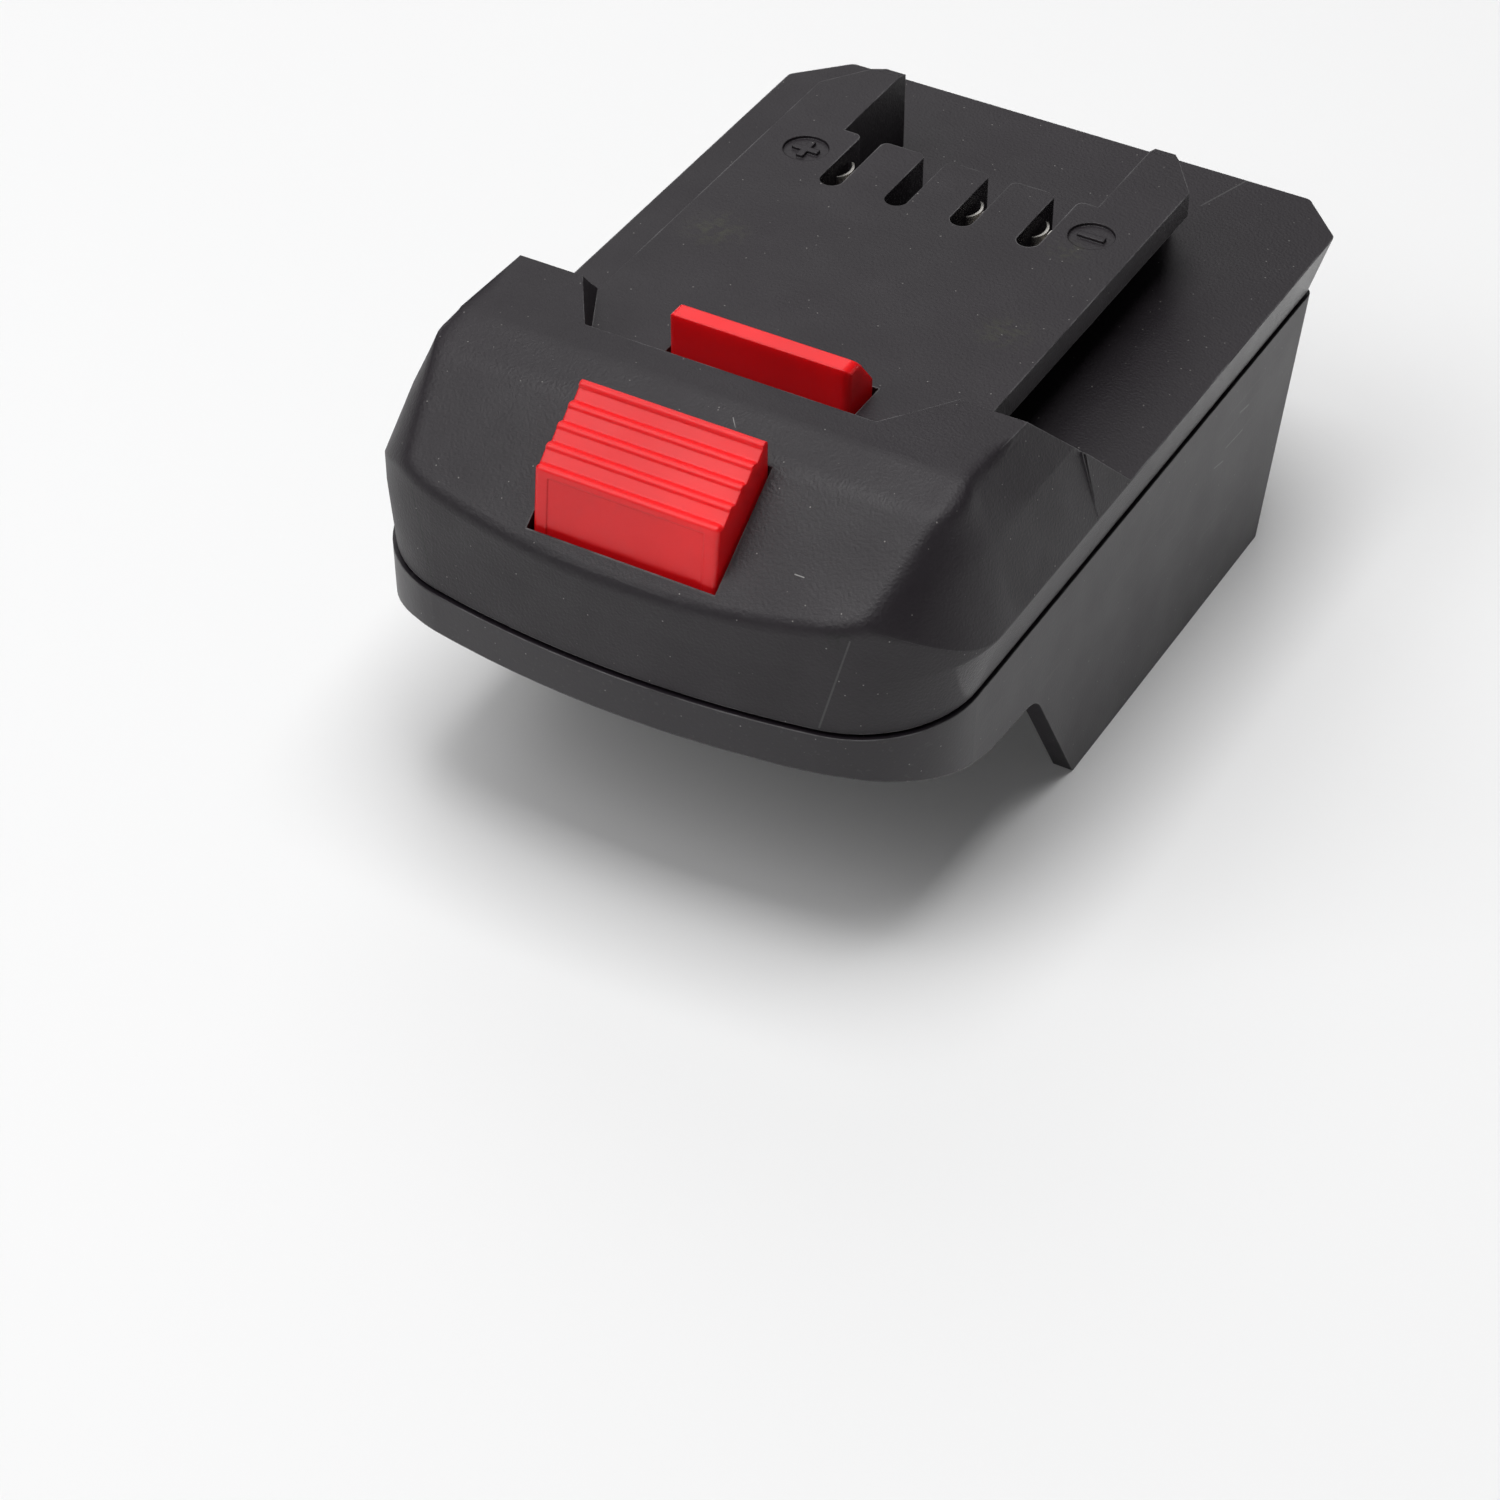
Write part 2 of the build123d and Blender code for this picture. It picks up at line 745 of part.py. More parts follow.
# Release latch: the ribbed button, the bridge behind it and the bar
with BuildPart() as release_latch:
    with BuildSketch(Plane.YZ) as head:
        pitch_y = (button_rear_y - rear_rib_crest - button_front_y) / (rib_count - 1)
        pitch_z = (button_rear_z - button_front_z) / (rib_count - 1)
        crests = [
            (button_front_y + rib * pitch_y, button_front_z + rib * pitch_z)
            for rib in range(rib_count)
        ]
        outline_points = [(button_rear_y, button_head_z), (button_foot_y, button_head_z), crests[0]]
        for y, z in crests[1:]:
            outline_points += [
                (y - pitch_y + rib_crest, z - pitch_z - rib_dip),
                (y, z - rib_riser),
                (y, z),
            ]
        outline_points.append((button_rear_y, button_rear_z))
        with BuildLine():
            Polyline(outline_points, close=True)
        make_face()
        fillet([head.vertices().sort_by_distance(crest)[0] for crest in crests], radius=rib_round)
        rear_top = head.vertices().sort_by_distance((button_rear_y, button_rear_z))[0]
        fillet(rear_top, radius=rib_round)
    extrude(amount=button_half_width, both=True)
    front_edges = release_latch.faces().sort_by(Axis.Y)[0].edges().group_by(Axis.X)
    fillet(front_edges[0] + front_edges[-1], radius=button_round)
    with BuildSketch(Plane.YZ):
        with BuildLine():
            Polyline(
                (button_foot_y - overrun, button_head_z),
                (button_foot_y + panel_depth, button_head_z),
                (button_front_y + panel_depth, button_front_z),
                (button_front_y - overrun, button_front_z),
                close=True,
            )
        make_face()
        with Locations((button_foot_y, button_front_z)):
            Rectangle(2 * overrun, 2 * panel_drop, mode=Mode.SUBTRACT)
    extrude(amount=button_half_width - panel_margin, both=True, mode=Mode.SUBTRACT)
    with BuildSketch(Plane.XY.offset(button_skirt_z)):
        with Locations((0, button_skirt_y)):
            Rectangle(
                2 * button_half_width,
                button_rear_y - button_skirt_y,
                align=(Align.CENTER, Align.MIN),
            )
    extrude(amount=button_head_z - button_skirt_z)
    with BuildSketch(Plane.XY.offset(bridge_z)):
        with Locations((0, button_skirt_y + wing_setback)):
            Rectangle(
                2 * (button_half_width + wing_reach),
                button_rear_y - button_skirt_y - 2 * wing_setback,
                align=(Align.CENTER, Align.MIN),
            )
        with Locations((0, button_rear_y)):
            Rectangle(
                2 * bridge_half_width,
                bar_rear_y - button_rear_y,
                align=(Align.CENTER, Align.MIN),
            )
    extrude(amount=bridge_thickness)
    add(latch_bar.part)
    with BuildSketch(Plane.XY.offset(button_skirt_z)):
        with Locations((-spring_x, spring_y), (spring_x, spring_y)):
            Circle(spring_radius + spring_bore_gap)
    extrude(amount=spring_bore_z - button_skirt_z, mode=Mode.SUBTRACT)
release_latch.part.label = "release_latch"


def latch_spring(x):
    """Compression spring, wound as half turns that are level where they meet."""
    low_z = floor_top + fit_gap + spring_wire_radius
    pitch = (spring_bore_z - fit_gap - spring_wire_radius - low_z) / spring_turns
    coil_radius = spring_radius - spring_wire_radius
    with BuildPart() as spring:
        with BuildLine() as coil:
            for half_turn in range(2 * spring_turns):
                side = 1 if half_turn % 2 == 0 else -1
                start_z = low_z + half_turn * pitch / 2
                ThreePointArc(
                    (x + side * coil_radius, spring_y, start_z),
                    (x, spring_y + side * coil_radius, start_z + pitch / 4),
                    (x - side * coil_radius, spring_y, start_z + pitch / 2),
                )
        with BuildSketch(Plane(origin=coil.wires()[0] @ 0, z_dir=coil.wires()[0] % 0)):
            RegularPolygon(spring_wire_radius, spring_wire_sides)
        sweep()
    return spring.part


springs = {"latch_spring_left": latch_spring(-spring_x), "latch_spring_right": latch_spring(spring_x)}


def contact_clip(x):
    """Fork of two bowed leaves on a base plate, with a tail for the circuit board."""
    with BuildPart() as clip:
        with BuildSketch(Plane.XY.offset(clip_base_z)):
            with Locations((x, clip_y)):
                Rectangle(2 * (clip_mouth + clip_sheet), 2 * clip_half_length)
        extrude(amount=clip_base_height)
        with BuildSketch(Plane.XY.offset(clip_base_z)):
            for side in (-1, 1):
                with BuildLine():
                    inner = ThreePointArc(
                        (x + side * clip_mouth, clip_y - clip_half_length),
                        (x + side * clip_pinch, clip_y),
                        (x + side * clip_mouth, clip_y + clip_half_length),
                    )
                    outer = ThreePointArc(
                        (x + side * (clip_mouth + clip_sheet), clip_y - clip_half_length),
                        (x + side * (clip_pinch + clip_sheet), clip_y),
                        (x + side * (clip_mouth + clip_sheet), clip_y + clip_half_length),
                    )
                    Line(inner @ 0, outer @ 0)
                    Line(inner @ 1, outer @ 1)
                make_face()
        extrude(amount=clip_top_z - clip_base_z)
        with BuildSketch(Plane.XY.offset(clip_base_z)):
            with Locations((x, clip_y)):
                Rectangle(clip_tail_width, clip_tail_width)
        extrude(amount=board_z - clip_tail_overhang - clip_base_z)
    return clip.part


clips = {f"contact_clip_{name}": contact_clip(x) for name, x in contact_x.items()}

# Carrier that holds the clips under the deck
with BuildPart() as clip_carrier:
    with BuildSketch(Plane.XY.offset(board_top_z)) as carrier_plan:
        with Locations((0, carrier_front_y)):
            Rectangle(
                2 * carrier_half_width,
                carrier_rear_y - carrier_front_y,
                align=(Align.CENTER, Align.MIN),
            )
        chamfer(carrier_plan.vertices(), length=carrier_chamfer)
        with Locations((-finger_x, clip_y), (finger_x, clip_y)):
            Circle(board_screw_radius + fit_gap, mode=Mode.SUBTRACT)
        with Locations([(x, clip_y) for x in contact_x.values()]):
            tail_hole = clip_tail_width + 2 * fit_gap
            Rectangle(tail_hole, tail_hole, mode=Mode.SUBTRACT)
    extrude(amount=deck_underside - board_top_z)
    with BuildSketch(Plane.XY.offset(clip_base_z)):
        with Locations([(x, clip_y) for x in contact_x.values()]):
            Rectangle(
                2 * (clip_mouth + clip_sheet + fit_gap),
                2 * (clip_half_length + fit_gap),
            )
    extrude(amount=clip_base_height, mode=Mode.SUBTRACT)
clip_carrier.part.label = "clip_carrier"

resistor_places = [resistor_y, resistor_y + resistor_spacing]
resistor_lead_x = resistor_length / 2 + resistor_lead_reach

with BuildPart() as circuit_board:
    with BuildSketch(Plane.XY.offset(board_z)):
        with Locations((0, board_front_y)):
            Rectangle(
                2 * board_half_width,
                board_rear_y - board_front_y,
                align=(Align.CENTER, Align.MIN),
            )
        with Locations((-finger_x, clip_y), (finger_x, clip_y)):
            Circle(board_screw_radius + fit_gap, mode=Mode.SUBTRACT)
        with Locations([(x, clip_y) for x in contact_x.values()]):
            Rectangle(tail_hole, tail_hole, mode=Mode.SUBTRACT)
        with Locations([(side * resistor_lead_x, y) for side in (-1, 1) for y in resistor_places]):
            Circle(resistor_lead_radius + fit_gap, mode=Mode.SUBTRACT)
    extrude(amount=board_thickness)
circuit_board.part.label = "circuit_board"


def resistor(y):
    """Resistor that lies across the board, with its leads bent down through it."""
    axis_z = board_top_z + resistor_lift + resistor_radius
    with BuildPart() as body:
        with BuildLine() as leads:
            Polyline(
                (-resistor_lead_x, y, board_z - clip_tail_overhang),
                (-resistor_lead_x, y, axis_z),
                (resistor_lead_x, y, axis_z),
                (resistor_lead_x, y, board_z - clip_tail_overhang),
            )
        with BuildSketch(Plane.XY.offset(board_z - clip_tail_overhang)):
            with Locations((-resistor_lead_x, y)):
                RegularPolygon(resistor_lead_radius, resistor_lead_sides)
        sweep(path=leads.wires()[0], transition=Transition.RIGHT)
        with BuildSketch(Plane.YZ):
            with Locations((y, axis_z)):
                Circle(resistor_radius)
        extrude(amount=resistor_length / 2, both=True)
    return body.part


with BuildPart() as signal_resistors:
    for y in resistor_places:
        add(resistor(y))
signal_resistors.part.label = "signal_resistors"

# Block under the floor that holds the blades for the battery
with BuildPart() as terminal_block:
    with BuildSketch(Plane.XY.offset(terminal_z)) as block_plan:
        with Locations((0, terminal_front_y)):
            Rectangle(
                2 * terminal_half_width,
                terminal_rear_y - terminal_front_y,
                align=(Align.CENTER, Align.MIN),
            )
        chamfer(block_plan.vertices(), length=terminal_chamfer)
    extrude(amount=terminal_height)
    for x in contact_x.values():
        slot_side = blade_thickness / 2 + fit_gap
        extrude(blade_outline(x - slot_side, fit_gap), amount=2 * slot_side, mode=Mode.SUBTRACT)
    with BuildSketch(Plane.XY.offset(channel_height)):
        with Locations((-finger_x, terminal_screw_y), (finger_x, terminal_screw_y)):
            Circle(terminal_shank_radius + fit_gap)
    extrude(amount=-terminal_screw_bite - screw_tip_room, mode=Mode.SUBTRACT)
terminal_block.part.label = "terminal_block"


def blade(x):
    """Flat blade for one of the battery's contacts, with its solder tab."""
    with BuildPart() as strip:
        extrude(blade_outline(x - blade_thickness / 2, 0), amount=blade_thickness)
    return strip.part


def wire(x):
    """Insulated lead from a blade's solder tab down to the circuit board."""
    side = 1 if x > 0 else -1
    wire_x = x - side * (blade_thickness / 2 + wire_radius + fit_gap)
    with BuildPart() as lead:
        with BuildLine() as route:
            FilletPolyline(
                (wire_x, blade_rear_y, wire_z),
                (wire_x, wire_end_y, wire_z),
                (wire_x, wire_end_y, board_top_z),
                radius=wire_bend,
            )
        with BuildSketch(Plane.XZ.offset(-blade_rear_y)):
            with Locations((wire_x, wire_z)):
                RegularPolygon(wire_radius, wire_sides)
        sweep(path=route.wires()[0])
    return lead.part


blades = {f"blade_{name}": blade(x) for name, x in contact_x.items()}
wires = {f"wire_{name}": wire(x) for name, x in contact_x.items()}

# Screws, each kind as one group
case_screw = screw(case_head_radius, case_head_height, case_shank_radius, case_shank_length)
board_shank_length = deck_underside + board_screw_bite - board_z
board_screw = screw(board_head_radius, board_head_height, board_screw_radius, board_shank_length)
terminal_shank_length = floor_thickness + terminal_screw_bite
terminal_screw = screw(
    terminal_head_radius, terminal_head_height, terminal_shank_radius, terminal_shank_length
)

with BuildPart() as case_screws:
    with Locations([(x, y, case_seat_z) for x, y in case_screw_places]):
        add(case_screw)
case_screws.part.label = "case_screws"

with BuildPart() as carrier_screws:
    with Locations((-finger_x, clip_y, board_z), (finger_x, clip_y, board_z)):
        add(board_screw)
carrier_screws.part.label = "carrier_screws"

with BuildPart() as terminal_screws:
    with Locations([(side * finger_x, terminal_screw_y, floor_top) for side in (-1, 1)]):
        add(mirror(terminal_screw, about=Plane.XY, mode=Mode.PRIVATE))
terminal_screws.part.label = "terminal_screws"

os.makedirs("parts", exist_ok=True)
export_step(top_cover.part, "parts/top_cover.step")
export_step(bottom_case.part, "parts/bottom_case.step")
export_step(release_latch.part, "parts/release_latch.step")
export_step(clip_carrier.part, "parts/clip_carrier.step")
export_step(circuit_board.part, "parts/circuit_board.step")
export_step(signal_resistors.part, "parts/signal_resistors.step")
export_step(terminal_block.part, "parts/terminal_block.step")
export_step(case_screws.part, "parts/case_screws.step")
export_step(carrier_screws.part, "parts/carrier_screws.step")
export_step(terminal_screws.part, "parts/terminal_screws.step")
for name, piece in (springs | clips | blades | wires).items():
    piece.label = name
    export_step(piece, f"parts/{name}.step")
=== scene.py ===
"""Tool battery adapter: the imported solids, dressed in plastic and metal and lit in a pale studio."""

import math

import bpy
from mathutils import Matrix, Vector


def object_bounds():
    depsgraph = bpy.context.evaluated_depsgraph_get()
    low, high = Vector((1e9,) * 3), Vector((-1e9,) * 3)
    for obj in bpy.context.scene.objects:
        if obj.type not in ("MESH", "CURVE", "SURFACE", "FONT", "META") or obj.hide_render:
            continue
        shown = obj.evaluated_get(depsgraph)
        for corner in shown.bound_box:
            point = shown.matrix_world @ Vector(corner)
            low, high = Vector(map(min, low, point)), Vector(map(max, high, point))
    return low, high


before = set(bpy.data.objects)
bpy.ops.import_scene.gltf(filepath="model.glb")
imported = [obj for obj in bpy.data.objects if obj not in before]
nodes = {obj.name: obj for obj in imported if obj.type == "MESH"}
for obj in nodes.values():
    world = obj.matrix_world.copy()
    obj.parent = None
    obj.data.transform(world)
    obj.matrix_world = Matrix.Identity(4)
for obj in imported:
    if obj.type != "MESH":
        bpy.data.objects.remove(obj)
cad_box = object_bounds()

MM = 0.001

# Camera: where it stands and how it is turned, as fitted to the photograph's straight edges
CAMERA_PLACE = Vector((167.23, -317.30, 288.68)) * MM
CAMERA_AZIMUTH = 29.702
CAMERA_ELEVATION = 40.693
CAMERA_ROLL = -0.143
LENS = 96.0
SENSOR = 36.0
NEAREST_SEEN = 10 * MM

# Studio: a pale floor, a dim even surround, a large lamp overhead and two weaker ones on the left
FLOOR_HALF = 3.0
FLOOR_GAP = 0.02 * MM
FLOOR_COLOUR = (0.83, 0.83, 0.83, 1)
FLOOR_ROUGHNESS = 0.9
FLOOR_LIFT = 0.05
WORLD_COLOUR = (0.97, 0.97, 1.0, 1)
WORLD_STRENGTH = 0.07
LAMP_SIZE = 0.8
LAMP_AIM = Vector((0, 0, 40)) * MM
TOP_PLACE = Vector((0, 0, 1.30))
TOP_POWER = 13.0
REAR_PLACE = Vector((-0.60, 0.80, 0.80))
REAR_POWER = 2.4
FRONT_PLACE = Vector((-0.45, -0.62, 0.92))
FRONT_POWER = 5.0

# Colours of the moulded pieces, and how rough and how deeply grained they are
COVER_BLACK = (0.0105, 0.0072, 0.0105, 1)
COVER_ROUGHNESS = (0.49, 0.57)
COVER_GRAIN_DEPTH = 0.060 * MM
CASE_BLACK = (0.0110, 0.0080, 0.0115, 1)
CASE_ROUGHNESS = (0.38, 0.43)
CASE_GRAIN_DEPTH = 0.016 * MM
LATCH_RED = (0.90, 0.006, 0.011, 1)
LATCH_ROUGHNESS = (0.34, 0.44)
LATCH_GRAIN_DEPTH = 0.003 * MM

# Colours of what lies on or in the surface, of painted edge highlights and of a painted shade
DUST = (0.24, 0.23, 0.22, 1)
# lighter colour of worn edges, which also stands in for highlights on them
WORN_EDGE_AND_HIGHLIGHT = (0.20, 0.195, 0.20, 1)
PALE_MARK = (0.050, 0.048, 0.050, 1)
# dark colour of the left mould line and of the painted shade in the notch by the right mould line
DARK_MARK_AND_SHADE = (0.001, 0.001, 0.001, 1)
LINT = (0.24, 0.235, 0.23, 1)
SCRATCH = (0.085, 0.083, 0.085, 1)
OLIVE_SMUDGE = (0.024, 0.023, 0.015, 1)

# Plastic: grain, clouds of tone and patches of shine, each with the spacing of its lumps
PLASTIC_IOR = 1.5
GRAIN_PERIOD = 0.33 * MM
CLOUD_PERIOD = 22 * MM
CLOUD_EDGES = (0.35, 0.65)
CLOUD_SHARES = (0.9, 1.1)
SHINE_PERIOD = 7 * MM
SHINE_EDGES = (0.3, 0.7)
FINE_EDGE = 0.25 * MM
EDGE_SAMPLES = 8

# How far light spreads inside the red plastic
GLOW_WEIGHT = 0.5
GLOW_SPREAD = (1.0, 0.12, 0.08)
GLOW_DEPTH = 2.0 * MM

# Metal: drawn scratches along the height, and clouds that are this many times as far apart
DRAWN_STRETCH = (1, 1, 0.08)
METAL_CLOUD_RATIO = 12
METAL_CLOUD_SHARES = (0.85, 1.1)

# Dust: scattered round specks
SPECK_PERIOD = 1.5 * MM
SPECK_RADIUS = 0.10 * MM

# Worn edges with painted highlights: an edge is lightened most at the first of these cosines of its turn
# and not at the second
WEAR_AND_HIGHLIGHT_RADIUS = 0.30 * MM
WORN_AND_HIGHLIT_TURNS = (0.88, 0.99)
SCUFF_PERIOD = 5 * MM
SCUFF_EDGES = (0.38, 0.62)
SCUFF_LEAST = 0.25

# Smudges, and one painted shade: patches that are whole within a share of their radius
SMUDGE_AND_SHADE_PERIOD = 0.9 * MM
SMUDGE_AND_SHADE_EDGES = (0.42, 0.68)
SMUDGE_AND_SHADE_CORE_SHARE = 0.2

# Streaks: faint slanting scratches, drawn out by a noise that is turned and stretched
STREAK_PERIOD = 0.5 * MM
STREAK_TURN = (0.6, 0, 0)
STREAK_STRETCH = (1, 0.04, 1)
STREAK_EDGES = (0.66, 0.72)
STREAK_STRENGTH = 0.25

# The hood's shoulders bend softly beyond this half width, ahead of this depth and above this height
SHOULDER = Vector((24, -24, 41)) * MM
SHOULDER_FADE = 3 * MM
SOFT_EDGE = 2.6 * MM

# The cover's side band came smoother out of the mould: outside this half width, below this height
BAND_HALF_WIDTH = 33.8 * MM
BAND_TOP = 36.95 * MM
BAND_FADE = 0.2 * MM
BAND_POLISH_SHARE = 0.56

# The two polarity marks keep clean edges within this distance of their middles, in millimetres
POLARITY_MIDDLES = [(-17.8, 19.4, 47.4), (17.8, 19.4, 47.4)]
POLARITY_CLEAR = 3.4
POLARITY_CORE_SHARE = 0.9


def start_material(name):
    """New material, its shader, a function that adds a node and one that feeds the shader."""
    material = bpy.data.materials.new(name)
    material.use_nodes = True
    tree = material.node_tree
    shader = tree.nodes["Principled BSDF"]

    def add(kind, inputs=None, **settings):
        node = tree.nodes.new(kind)
        for setting, value in settings.items():
            setattr(node, setting, value)
        for socket, value in (inputs or {}).items():
            if isinstance(value, bpy.types.NodeSocket):
                tree.links.new(value, node.inputs[socket])
            else:
                node.inputs[socket].default_value = value
        return node

    def join(value, socket):
        tree.links.new(value, shader.inputs[socket])

    return material, shader, add, join


def reckon(add, operation, first, second=0):
    """One sum on two numbers, either of which may be a socket."""
    return add("ShaderNodeMath", {0: first, 1: second}, operation=operation).outputs[0]


def reckon_vectors(add, operation, first, second, output="Value"):
    """One sum on two vectors, either of which may be a socket."""
    return add("ShaderNodeVectorMath", {0: first, 1: second}, operation=operation).outputs[output]


def times(add, first, *others):
    """Product of several numbers, any of which may be a socket."""
    for other in others:
        first = reckon(add, "MULTIPLY", first, other)
    return first


def span(add, value, low, high, new_low, new_high):
    """Value mapped from one range to another and held inside it."""
    inputs = {0: value, 1: low, 2: high, 3: new_low, 4: new_high}
    return add("ShaderNodeMapRange", inputs, clamp=True).outputs[0]


def noise(add, place, period, detail):
    """Noise whose lumps are about one period apart."""
    inputs = {"Vector": place, "Scale": 1 / period, "Detail": detail}
    return add("ShaderNodeTexNoise", inputs).outputs["Fac"]


def patches(add, place, period, detail, edges, least=0, most=1):
    """Noise made into patches: the least below the first edge, the most above the second."""
    return span(add, noise(add, place, period, detail), *edges, least, most)


def blend(add, factor, first, second):
    """Colour between two colours, either of which may be a socket."""
    return add("ShaderNodeMixRGB", {"Fac": factor, "Color1": first, "Color2": second}).outputs[0]


def shade(colour, share):
    """Colour made lighter or darker by a share."""
    return tuple(part * share for part in colour[:3]) + (1,)


def split(add, place):
    """Distance from the object's middle plane, depth and height of a place."""
    parts = add("ShaderNodeSeparateXYZ", {0: place}).outputs
    return reckon(add, "ABSOLUTE", parts["X"]), parts["Y"], parts["Z"]


def round_edges(add, radius):
    """Normals that round every edge off by a radius."""
    return add("ShaderNodeBevel", {"Radius": radius}, samples=EDGE_SAMPLES).outputs["Normal"]


def hood_zone(add, place):
    """One on the hood's shoulders, which bend softly, and none everywhere else."""
    side, depth, height = split(add, place)
    outward = span(add, side, SHOULDER.x, SHOULDER.x + SHOULDER_FADE, 0, 1)
    forward = span(add, depth, SHOULDER.y - SHOULDER_FADE, SHOULDER.y, 1, 0)
    upward = span(add, height, SHOULDER.z, SHOULDER.z + SHOULDER_FADE, 0, 1)
    return times(add, outward, forward, upward)


def hood_edge(add, place):
    """Edge radius: wide on the hood's shoulders, fine everywhere else."""
    return span(add, hood_zone(add, place), 0, 1, FINE_EDGE, SOFT_EDGE)


def band_polish(add, place):
    """Share of the roughness that is left: less on the cover's side band."""
    side, _, height = split(add, place)
    outward = span(add, side, BAND_HALF_WIDTH - BAND_FADE, BAND_HALF_WIDTH, 0, 1)
    below = span(add, height, BAND_TOP, BAND_TOP + BAND_FADE, 1, 0)
    return span(add, times(add, outward, below), 0, 1, 1, BAND_POLISH_SHARE)


def specks(add, place, strength):
    """Sparse round specks, where a scattered point lies close to the surface."""
    cells = add("ShaderNodeTexVoronoi", {"Vector": place, "Scale": 1 / SPECK_PERIOD})
    share = SPECK_RADIUS / SPECK_PERIOD
    return span(add, cells.outputs["Distance"], share / 2, share, strength, 0)


def edge_wear_and_highlight(add, place, strength, clean_middles=(), soft_zone=None):
    """Thin lighter line where an edge turns away from its flat face, partly wear and partly painted
    highlight, broken up by patches.
    """
    flat = add("ShaderNodeNewGeometry").outputs["Normal"]
    turn = reckon_vectors(add, "DOT_PRODUCT", round_edges(add, WEAR_AND_HIGHLIGHT_RADIUS), flat)
    scuffs = patches(add, place, SCUFF_PERIOD, 3, SCUFF_EDGES, SCUFF_LEAST, 1)
    worn_and_highlit = times(add, span(add, turn, *WORN_AND_HIGHLIT_TURNS, strength, 0), scuffs)
    clear = POLARITY_CLEAR * MM
    for middle in clean_middles:
        gap = reckon_vectors(add, "DISTANCE", place, Vector(middle) * MM)
        worn_and_highlit = times(add, worn_and_highlit, span(add, gap, clear * POLARITY_CORE_SHARE, clear, 0, 1))
    if soft_zone:
        worn_and_highlit = times(add, worn_and_highlit, span(add, soft_zone(add, place), 0, 1, 1, 0))
    return worn_and_highlit


def line_mark(add, place, start, end, radius):
    """One straight mark from a point to another, as wide as twice the radius, in millimetres."""
    start, end, radius = Vector(start) * MM, Vector(end) * MM, radius * MM
    along = end - start
    offset = reckon_vectors(add, "SUBTRACT", place, start, "Vector")
    reach = reckon_vectors(add, "DOT_PRODUCT", offset, along / along.length_squared)
    held = span(add, reach, 0, 1, 0, 1)
    nearest = add("ShaderNodeVectorMath", {0: along, "Scale": held}, operation="SCALE").outputs["Vector"]
    return span(add, reckon_vectors(add, "DISTANCE", offset, nearest), radius / 2, radius, 1, 0)


def smudge_and_shade(add, place, middle, radius):
    """Broken patch that fades out from its middle, in millimetres."""
    gap = reckon_vectors(add, "DISTANCE", place, Vector(middle) * MM)
    whole = span(add, gap, radius * MM * SMUDGE_AND_SHADE_CORE_SHARE, radius * MM, 1, 0)
    return times(add, whole, patches(add, place, SMUDGE_AND_SHADE_PERIOD, 3, SMUDGE_AND_SHADE_EDGES))


def streaks(add, place):
    """Faint slanting scratches, many times longer than wide."""
    turned = add("ShaderNodeMapping", {"Vector": place, "Rotation": STREAK_TURN, "Scale": STREAK_STRETCH})
    return patches(add, turned.outputs[0], STREAK_PERIOD, 1, STREAK_EDGES, 0, STREAK_STRENGTH)


# The cover's marks, first to last: smudges and a painted shade over the notch by the right mould line,
# worn edges with painted edge highlights, two mould lines, a witness line, lint, dust.
# Each has the function that draws it, that function's values and its colour.
COVER_LAYERS = [
    (smudge_and_shade, ((-18.4, 0.0, 47.4), 4.5), OLIVE_SMUDGE),
    (smudge_and_shade, ((17.9, -1.5, 47.4), 4.0), OLIVE_SMUDGE),
    (smudge_and_shade, ((16.7, 15.8, 47.4), 3.0), OLIVE_SMUDGE),
    # painted shade: a dark patch over the small notch by the right mould line, where shade falls
    (smudge_and_shade, ((24.6, -49.8, 42.2), 1.8), DARK_MARK_AND_SHADE),
    # painted highlight, partly wear: the cover's edges are drawn lighter where they turn, less on the
    # hood's shoulders and not round the polarity marks
    (edge_wear_and_highlight, (0.7, POLARITY_MIDDLES, hood_zone), WORN_EDGE_AND_HIGHLIGHT),
    (line_mark, ((25.6, -49.4, 42.2), (22.9, -50.4, 30.8), 0.14), PALE_MARK),
    (line_mark, ((-25.6, -49.4, 42.2), (-22.9, -50.4, 30.8), 0.14), DARK_MARK_AND_SHADE),
    (line_mark, ((19.6, 45.6, 37.2), (22.4, 54.4, 37.2), 0.12), PALE_MARK),
    (line_mark, ((17.9, -46.7, 45.7), (18.9, -46.7, 45.7), 0.08), LINT),
    (line_mark, ((4.2, -35.1, 52.4), (5.1, -36.2, 52.2), 0.06), LINT),
    (specks, (0.8,), DUST),
]

# The case's marks in the same form: worn edges with painted edge highlights, faint streaks, three single
# scratches and dust
CASE_LAYERS = [
    # painted highlight, partly wear: the case's edges are drawn lighter where they turn
    (edge_wear_and_highlight, (0.6,), WORN_EDGE_AND_HIGHLIGHT),
    (streaks, (), PALE_MARK),
    (line_mark, ((33.79, 24.3, 21.6), (33.78, 28.9, 21.2), 0.12), SCRATCH),
    (line_mark, ((33.84, 27.5, 24.5), (33.83, 29.8, 24.1), 0.17), SCRATCH),
    (line_mark, ((33.77, 21.4, 20.6), (33.76, 23.9, 20.0), 0.13), SCRATCH),
    (specks, (0.7,), DUST),
]

